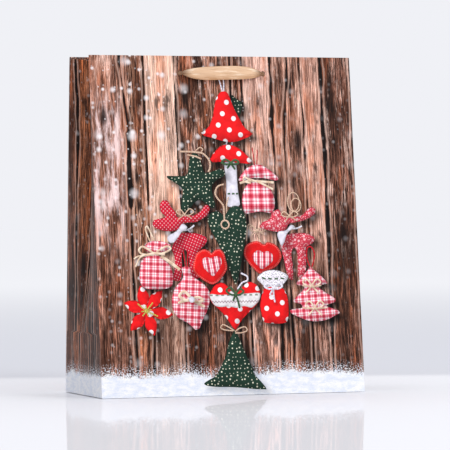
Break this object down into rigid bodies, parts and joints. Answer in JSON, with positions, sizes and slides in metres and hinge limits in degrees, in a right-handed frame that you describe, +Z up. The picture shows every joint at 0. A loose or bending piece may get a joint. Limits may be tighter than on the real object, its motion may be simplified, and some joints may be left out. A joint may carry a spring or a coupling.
{
  "type": "gift bag",
  "caption": "Upright paper gift bag with a flat base, creased side gussets, turned-in hem, loose base card and satin ribbon handles.",
  "frame": {"origin": "middle of the base, on the surface the bag stands on", "axes": "+Z up, the front panel faces -Y, +X to the right seen from the front"},
  "size_m": [0.26, 0.1199, 0.3193],
  "materials": {
    "printed_paper": "laminated print, satin",
    "grey_board": "matt",
    "satin_ribbon": "satin sheen"
  },
  "bodies": {
    "base": {"bottom_front_flap": "printed_paper", "bottom_back_flap": "printed_paper", "bottom_left_flap": "printed_paper", "bottom_right_flap": "printed_paper", "left_gusset_foot": "printed_paper", "right_gusset_foot": "printed_paper", "left_gusset_front_half": "printed_paper", "left_gusset_front_hem": "printed_paper", "right_gusset_front_half": "printed_paper", "right_gusset_front_hem": "printed_paper", "left_gusset_back_half": "printed_paper", "left_gusset_back_hem": "printed_paper", "right_gusset_back_half": "printed_paper", "right_gusset_back_hem": "printed_paper"},
    "base_board": {"base_board": "grey_board"},
    "front_panel": {"front_panel": "printed_paper", "front_hem_card": "grey_board", "front_hem": "printed_paper", "front_ribbon_tail_left": "satin_ribbon", "front_ribbon_knot_left": "satin_ribbon", "front_ribbon_tail_right": "satin_ribbon", "front_ribbon_knot_right": "satin_ribbon"},
    "back_panel": {"back_panel": "printed_paper", "back_hem_card": "grey_board", "back_hem": "printed_paper", "back_ribbon_tail_left": "satin_ribbon", "back_ribbon_knot_left": "satin_ribbon", "back_ribbon_tail_right": "satin_ribbon", "back_ribbon_knot_right": "satin_ribbon", "side_seam_flap": "printed_paper"},
    "front_handle": {"front_ribbon_band": "satin_ribbon"},
    "back_handle": {"back_ribbon_band": "satin_ribbon"}
  },
  "joints": [
    {"name": "front_panel_tilt", "type": "hinge", "parent": "base", "child": "front_panel", "pos_m": [0, -0.06, 0.0004], "axis": [1, 0, 0], "range_deg": [-4, 6.3], "deforming": ["left_gusset_front_half", "left_gusset_front_hem", "right_gusset_front_half", "right_gusset_front_hem"]},
    {"name": "back_panel_tilt", "type": "hinge", "parent": "base", "child": "back_panel", "pos_m": [0, 0.06, 0.0004], "axis": [-1, 0, 0], "range_deg": [-4, 3.8], "deforming": ["left_gusset_back_half", "left_gusset_back_hem", "right_gusset_back_half", "right_gusset_back_hem"]},
    {"name": "base_board_lift", "type": "slide", "parent": "base", "child": "base_board", "axis": [0, 0, 1], "range_m": [0, 0.008]},
    {"name": "front_handle_swing", "type": "hinge", "parent": "front_panel", "child": "front_handle", "pos_m": [0, -0.02848, 0.30186], "axis": [-1, 0, 0], "range_deg": [-35, 35]},
    {"name": "back_handle_swing", "type": "hinge", "parent": "back_panel", "child": "back_handle", "pos_m": [0, 0.04168, 0.30295], "axis": [1, 0, 0], "range_deg": [-35, 35]}
  ]
}
